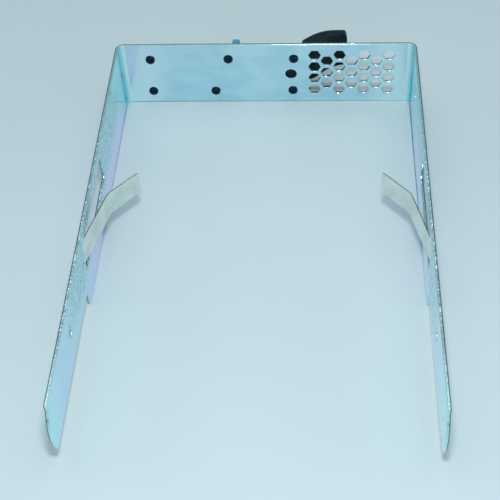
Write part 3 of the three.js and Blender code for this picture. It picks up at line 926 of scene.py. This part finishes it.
def bezel_screw(k):
    node = f"bezel_screw_{k}"
    low, high = box_mm(node)
    origin = Vector(((low.x + high.x) / 2, 0, (low.z + high.z) / 2))
    radius = (high.x - low.x) / 2
    seat = FLANGE_Y + SCREW["seat"]
    brim = seat + SCREW["brim"]
    shank, point_radius = SCREW["shank"], SCREW["point"]
    dome = [(radius * math.cos(a), brim + (high.y - brim) * math.sin(a) ** 0.9)
            for a in (math.pi / 2 * i / 14 for i in range(14))]
    dome.append((SCREW["crown"], high.y))
    body = [(0, low.y), (point_radius, low.y), (shank, low.y + shank), (shank, seat), (radius * 0.97, seat)]
    recessed = {round(r, 6) for r, _ in dome[1:]}  # the rings above the brim

    def lift(r, a):
        return screw_recess(r, a) if round(r, 6) in recessed else 0

    obj = turned(f"bezel_screw_head_{k}", origin, (0, 1, 0), body + dome + [(0, high.y)], 48, lift)
    obj.data.vertices[-1].co.y -= RECESS["depth"] * MM  # the middle of the recess
    return dress(obj, "black_screw", "tray", node)


def plan_slab(name, x0, s0, x1, s1, z0, z1, corner, radius):
    return slab(name, rounded_rectangle(x0, s0, x1, s1, corner), z0, z1, radius, spacing=6.0)


def bezel():
    low, high = box_mm("bezel")
    tail, right = low.x, high.x
    front, back = low.y - FLANGE_Y, high.y - FLANGE_Y
    bottom, top = low.z, high.z
    left, rail_top = BEZEL["left"], BEZEL["rail_top"]
    channel_low, channel_high = CHANNEL["low"], CHANNEL["high"]
    body = plan_slab("bezel_plate", tail, BEZEL["plate_front"], right, back, bottom, top, 0.6, 0.3)
    rails = [plan_slab("lower", left, front, right, back, bottom, channel_low, 1.2, 0.5),
             plan_slab("upper", left, front, right, back, channel_high, rail_top, 1.2, 0.5)]
    body = combined("bezel_body", body, rails, "UNION")

    pivot = middle_mm("lever_pivot_pin")
    axis = Vector((pivot.x, pivot.y, 0))
    coil_top = box_mm("lever_torsion_spring")[1].z
    spring_side, latch_side = box_mm("latch_spring")[0].x, box_mm("release_latch")[1].x
    pin_low, pin_high = box_mm("latch_pin")
    pin = (pin_low + pin_high) / 2
    room_low, room_high = channel_low - SKIN, channel_high + SKIN
    cutters = [
        drill(axis, UP, PIVOT_BORE["radius"], PIVOT_BORE["from"], top + OVERCUT),
        drill(axis, UP, HUB + FIT_GAP, room_low, room_high),
        drill(axis, UP, COIL_ROOM["radius"],
              channel_high - COIL_ROOM["below"], coil_top + COIL_ROOM["above"]),
        box_cutter((pivot.x, front - OVERCUT, room_low), (right + OVERCUT, back + OVERCUT, room_high)),
        box_cutter((spring_side - FIT_GAP, front - OVERCUT, channel_high - OVERCUT),
                   (latch_side + FIT_GAP, pin.y - FLANGE_Y + LATCH["room_behind"], top + OVERCUT)),
        drill(Vector((0, pin.y, pin.z)), ACROSS, LATCH_BORE["bezel"],
              pin_low.x - LATCH_BORE["past"], pin_high.x + LATCH_BORE["past"], 24),
    ]
    for k in range(1, 7):
        place = middle_mm(f"bezel_screw_{k}")
        tip = box_mm(f"bezel_screw_{k}")[0].y - SCREW["past"]
        cutters.append(drill(Vector((place.x, 0, place.z)), (0, 1, 0), SCREW["pilot"], tip, FLANGE_Y, 24))
    # Moulded grooves along the two front faces.
    half = GROOVE["half"]
    for z in (bottom + GROOVE["up"], (channel_high + rail_top) / 2):
        for start, end in (GROOVE["left"], (GROOVE["right_from"], right - GROOVE["margin"])):
            cutters.append(box_cutter((start, front - OVERCUT, z - half),
                                      (end, front + GROOVE["depth"], z + half)))
    obj = combined("bezel_moulding", body, cutters, "DIFFERENCE")
    return dress(obj, "black_plastic", "tray", "bezel")


# ------------------------------------------------------------------ handle lever
def handle_lever():
    low, high = box_mm("handle_lever")
    reach = low.y - FLANGE_Y
    grip_top = high.z
    start, end = GRIP["start"], GRIP["end"]
    front, back = ARM["front"], ARM["back"]
    pivot = middle_mm("lever_pivot_pin")
    pivot_s = pivot.y - FLANGE_Y

    end_round = GRIP["round"]
    grip = ([Vector((start, back)), Vector((start - 2.6, back))]
            + bezier((start - 2.6, back), (-18.5, -3.3), (-20.5, -11.0), (end + 0.2, -11.6), 14)
            + arc(end + end_round, -12.8, end_round, 180, 270, 6)
            + bezier((start - 12, reach), (start - 6.4, reach), (start - 3.2, -11.2), (start, -8.1), 12))
    body = slab("grip", grip, GRIP["bottom"], grip_top, 0.8, spacing=2.5)
    # The free end leans back towards its lower corner and is rounded at its upper one.
    slope = Vector((end + GRIP["lean"] / 4, grip_top - 5))
    corner = Vector((end, grip_top - end_round))
    crown = Vector((end + 1.6, grip_top))
    beyond, below, above = end - OVERCUT, GRIP["bottom"] - OVERCUT, grip_top + OVERCUT
    trim = ([Vector((beyond, below)), Vector((end + GRIP["lean"], below))]
            + curve(slope, corner, crown, 8, first=0)
            + [Vector((crown.x, above)), Vector((beyond, above))])
    trimmer = plate("trim", [(trim, SQUARE_CUT)], rearward(-16))
    body = combined("grip_trimmed", body, [trimmer], "DIFFERENCE")
    arm = ([Vector((pivot.x, back)), Vector((start - 0.6, back)), Vector((start - 0.6, -8.4))]
           + curve(Vector((start - 0.5, -8.4)), Vector((-10.8, -6.6)), Vector((-9, front)), 6)
           + [Vector((pivot.x, front))])
    arm_slab = slab("arm", arm, ARM["bottom"], ARM["top"], 0.35, spacing=5.0)
    hub = slab("hub", list(reversed(circle(pivot.x, pivot_s, HUB, 40))), ARM["bottom"], ARM["top"], 0.3)
    cam_bottom, cam_top = ARM["bottom"] + CAM["inset"], ARM["top"] - CAM["inset"]
    cam = slab("cam", cam_outline(pivot.x, pivot_s), cam_bottom, cam_top, 0.3)
    body = combined("lever_body", body, [arm_slab, hub, cam], "UNION")
    bore = drill(Vector((pivot.x, pivot.y, 0)), UP, PIVOT_BORE["radius"],
                 ARM["bottom"] - OVERCUT, ARM["top"] + OVERCUT)
    obj = combined("lever_handle", body, [bore], "DIFFERENCE")
    return dress(obj, "black_plastic", "lever", "handle_lever")


def cam_outline(x, s):
    """The nose beyond the pivot: two straight flanks and a round end."""
    angle = math.radians(CAM["angle"])
    along = Vector((math.cos(angle), math.sin(angle)))
    across = Vector((-along.y, along.x))
    centre = Vector((x, s))
    half, root = CAM["half"], CAM["root"]
    tip = centre + along * CAM["reach"]
    nose = [tip + (along * math.cos(a) + across * math.sin(a)) * half
            for a in (math.radians(-90 + 180 * k / 10) for k in range(11))]
    return [centre - across * half * root] + nose + [centre + across * half * root]


# ------------------------------------------------------------------ release latch, pins and coils
def release_latch():
    low, high = box_mm("release_latch")
    pin = middle_mm("latch_pin")
    pin_s = pin.y - FLANGE_Y
    front = low.y - FLANGE_Y
    nose, top = low.z, high.z
    back, underside = LATCH["back"], LATCH["underside"]
    top_round, nose_round = LATCH["top_round"], LATCH["nose_round"]
    side = [Vector((pin_s, top)), Vector((front + top_round, top))]
    side += arc(front + top_round, top - top_round, top_round, 90, 180, 6)[1:]
    side += arc(front + nose_round, nose + nose_round, nose_round, 180, 270, 4)
    side += [Vector((back, nose)), Vector((back, underside)), Vector((pin_s, underside))]
    width = high.x - low.x
    profile = rounded_profile(width, LATCH["edge"])
    finger = plate("finger", [(side, profile)], sideways(low.x), spacing=1.5)
    half = width / 2
    centre_x = (low.x + high.x) / 2
    plan = arc(centre_x, front + half, half, 180, 360, 16) + [Vector((high.x, 0)), Vector((low.x, 0))]
    keep = slab("keep", plan, nose - OVERCUT, top + OVERCUT, SKIN)
    finger = combined("finger_round", finger, [keep], "INTERSECT")
    # Seen from behind, the button's top is a half round.
    arch = (arc(centre_x, top - half, half, 0, 180, 16)
            + [Vector((low.x, nose - OVERCUT)), Vector((high.x, nose - OVERCUT))])
    crown = plate("crown", [(arch, SQUARE_CUT)], rearward(-12))
    finger = combined("finger_crowned", finger, [crown], "INTERSECT")
    axis = Vector((0, pin.y, pin.z))
    barrel = turned("barrel", axis, ACROSS, chamfered(LATCH["barrel"], low.x, high.x, 0.12), 32)
    finger = combined("latch_body", finger, [barrel], "UNION")
    bore = drill(axis, ACROSS, LATCH_BORE["latch"], low.x - OVERCUT, high.x + OVERCUT, 24)
    obj = combined("latch_button", finger, [bore], "DIFFERENCE")
    return dress(obj, "blue_plastic", "latch", "release_latch")


def plain_pin(name, node, direction, chamfer, sides):
    """A pin that fills its CAD node's box, along x or z."""
    low, high = box_mm(node)
    axis = direction.index(1)
    across = 2 - axis
    origin = (low + high) / 2
    origin[axis] = 0
    radius = (high[across] - low[across]) / 2
    obj = turned(name, origin, direction, chamfered(radius, low[axis], high[axis], chamfer), sides)
    return dress(obj, "plated_pin", "tray", node)


def coil_spring(name, node, axis, wire_radius, turns, body):
    """An even helix that fills a CAD coil's box, wound about the numbered axis."""
    low, high = box_mm(node)
    centre = (low + high) / 2
    size = high - low
    across = [i for i in range(3) if i != axis]
    radius = size[across[0]] / 2 - wire_radius
    start, end = low[axis] + wire_radius, high[axis] - wire_radius
    route = []
    steps = 24 * turns
    for k in range(steps + 1):
        t = k / steps
        a = 2 * math.pi * turns * t
        p = Vector(centre)
        p[across[0]] += radius * math.cos(a)
        p[across[1]] += radius * math.sin(a)
        p[axis] = start + (end - start) * t
        route.append(p)
    return dress(wire(name, route, wire_radius), "spring_steel", body, node)


# ------------------------------------------------------------------ build it
folded_tray()
leaf_spring("right", 1)
leaf_spring("left", -1)
bezel()
for number in range(1, 7):
    bezel_screw(number)
handle_lever()
release_latch()
plain_pin("pivot_pin", "lever_pivot_pin", UP, 0.2, 32)
plain_pin("latch_axle", "latch_pin", ACROSS, 0.1, 24)
coil_spring("torsion_coil", "lever_torsion_spring", axis=2, wire_radius=0.25, turns=3, body="tray")
coil_spring("latch_coil", "latch_spring", axis=0, wire_radius=0.15, turns=3, body="tray")
